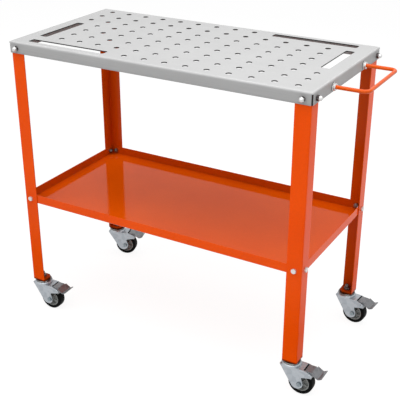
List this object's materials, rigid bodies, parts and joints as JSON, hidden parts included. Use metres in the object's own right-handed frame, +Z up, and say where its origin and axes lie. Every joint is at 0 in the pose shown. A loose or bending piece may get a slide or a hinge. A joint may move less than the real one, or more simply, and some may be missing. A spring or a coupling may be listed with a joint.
{
  "type": "mobile welding table",
  "caption": "Mobile welding table: perforated folded steel top with clamp slots on orange angle legs, a lower tray, a push handle and braked swivel casters.",
  "frame": {"origin": "on the floor, under the middle of the box round the whole table with its handle and casters", "axes": "+X along the table towards the push handle, +Y from the front to the back, +Z up"},
  "size_m": [1.0246, 0.4952, 0.8636],
  "materials": {
    "bare_steel": "satin, pale grey sheet",
    "orange_paint": "semi-gloss powder coat",
    "bright_zinc": "bright zinc plate",
    "zinc_plate": "blue-grey zinc plate",
    "black_rubber": "matt black rubber",
    "grey_core": "moulded grey plastic"
  },
  "bodies": {
    "table": {"table_top": "bare_steel", "lower_tray": "orange_paint", "push_handle": "orange_paint", "leg_front_left": "orange_paint", "foot_plate_front_left": "orange_paint", "flange_bolt_front_left_front": "bright_zinc", "flange_bolt_front_left_left": "bright_zinc", "tray_bolt_front_left_front": "bright_zinc", "tray_bolt_front_left_left": "bright_zinc", "leg_front_right": "orange_paint", "foot_plate_front_right": "orange_paint", "flange_bolt_front_right_front": "bright_zinc", "flange_bolt_front_right_right": "bright_zinc", "tray_bolt_front_right_front": "bright_zinc", "tray_bolt_front_right_right": "bright_zinc", "leg_back_left": "orange_paint", "foot_plate_back_left": "orange_paint", "flange_bolt_back_left_back": "bright_zinc", "flange_bolt_back_left_left": "bright_zinc", "tray_bolt_back_left_back": "bright_zinc", "tray_bolt_back_left_left": "bright_zinc", "leg_back_right": "orange_paint", "foot_plate_back_right": "orange_paint", "flange_bolt_back_right_back": "bright_zinc", "flange_bolt_back_right_right": "bright_zinc", "tray_bolt_back_right_back": "bright_zinc", "tray_bolt_back_right_right": "bright_zinc", "handle_nut_front_outer": "bright_zinc", "handle_nut_front_inner": "bright_zinc", "handle_nut_back_outer": "bright_zinc", "handle_nut_back_inner": "bright_zinc", "caster_front_left_stem": "zinc_plate", "caster_front_left_stem_nut": "bright_zinc", "caster_front_right_stem": "zinc_plate", "caster_front_right_stem_nut": "bright_zinc", "caster_back_left_stem": "zinc_plate", "caster_back_left_stem_nut": "bright_zinc", "caster_back_right_stem": "zinc_plate", "caster_back_right_stem_nut": "bright_zinc"},
    "caster_front_left_swivel": {"caster_front_left_fork": "zinc_plate", "caster_front_left_axle": "bright_zinc"},
    "caster_front_left_wheel": {"caster_front_left_tyre": "black_rubber", "caster_front_left_wheel_core": "grey_core"},
    "caster_front_left_brake": {"caster_front_left_brake_pedal": "zinc_plate"},
    "caster_front_right_swivel": {"caster_front_right_fork": "zinc_plate", "caster_front_right_axle": "bright_zinc"},
    "caster_front_right_wheel": {"caster_front_right_tyre": "black_rubber", "caster_front_right_wheel_core": "grey_core"},
    "caster_front_right_brake": {"caster_front_right_brake_pedal": "zinc_plate"},
    "caster_back_left_swivel": {"caster_back_left_fork": "zinc_plate", "caster_back_left_axle": "bright_zinc"},
    "caster_back_left_wheel": {"caster_back_left_tyre": "black_rubber", "caster_back_left_wheel_core": "grey_core"},
    "caster_back_left_brake": {"caster_back_left_brake_pedal": "zinc_plate"},
    "caster_back_right_swivel": {"caster_back_right_fork": "zinc_plate", "caster_back_right_axle": "bright_zinc"},
    "caster_back_right_wheel": {"caster_back_right_tyre": "black_rubber", "caster_back_right_wheel_core": "grey_core"},
    "caster_back_right_brake": {"caster_back_right_brake_pedal": "zinc_plate"}
  },
  "joints": [
    {"name": "caster_front_left_swivel_turn", "type": "hinge", "parent": "table", "child": "caster_front_left_swivel", "pos_m": [-0.47084, -0.20713, 0.0884], "axis": [0, 0, 1], "continuous": true},
    {"name": "caster_front_left_wheel_roll", "type": "hinge", "parent": "caster_front_left_swivel", "child": "caster_front_left_wheel", "pos_m": [-0.43836, -0.206, 0.036], "axis": [-0.0349, 0.9994, 0], "continuous": true},
    {"name": "caster_front_left_brake_press", "type": "hinge", "parent": "caster_front_left_swivel", "child": "caster_front_left_brake", "pos_m": [-0.41078, -0.20504, 0.072], "axis": [-0.0349, 0.9994, 0], "range_deg": [0, 13]},
    {"name": "caster_front_right_swivel_turn", "type": "hinge", "parent": "table", "child": "caster_front_right_swivel", "pos_m": [0.39116, -0.20713, 0.0884], "axis": [0, 0, 1], "continuous": true},
    {"name": "caster_front_right_wheel_roll", "type": "hinge", "parent": "caster_front_right_swivel", "child": "caster_front_right_wheel", "pos_m": [0.42366, -0.20713, 0.036], "axis": [0, 1, 0], "continuous": true},
    {"name": "caster_front_right_brake_press", "type": "hinge", "parent": "caster_front_right_swivel", "child": "caster_front_right_brake", "pos_m": [0.45126, -0.20713, 0.072], "axis": [0, 1, 0], "range_deg": [0, 13]},
    {"name": "caster_back_left_swivel_turn", "type": "hinge", "parent": "table", "child": "caster_back_left_swivel", "pos_m": [-0.47084, 0.19967, 0.0884], "axis": [0, 0, 1], "continuous": true},
    {"name": "caster_back_left_wheel_roll", "type": "hinge", "parent": "caster_back_left_swivel", "child": "caster_back_left_wheel", "pos_m": [-0.4396, 0.20862, 0.036], "axis": [-0.2756, 0.9613, 0], "continuous": true},
    {"name": "caster_back_left_brake_press", "type": "hinge", "parent": "caster_back_left_swivel", "child": "caster_back_left_brake", "pos_m": [-0.41307, 0.21623, 0.072], "axis": [-0.2756, 0.9613, 0], "range_deg": [0, 13]},
    {"name": "caster_back_right_swivel_turn", "type": "hinge", "parent": "table", "child": "caster_back_right_swivel", "pos_m": [0.39116, 0.19967, 0.0884], "axis": [0, 0, 1], "continuous": true},
    {"name": "caster_back_right_wheel_roll", "type": "hinge", "parent": "caster_back_right_swivel", "child": "caster_back_right_wheel", "pos_m": [0.42353, 0.19683, 0.036], "axis": [0.0872, 0.9962, 0], "continuous": true},
    {"name": "caster_back_right_brake_press", "type": "hinge", "parent": "caster_back_right_swivel", "child": "caster_back_right_brake", "pos_m": [0.45103, 0.19443, 0.072], "axis": [0.0872, 0.9962, 0], "range_deg": [0, 13]}
  ]
}
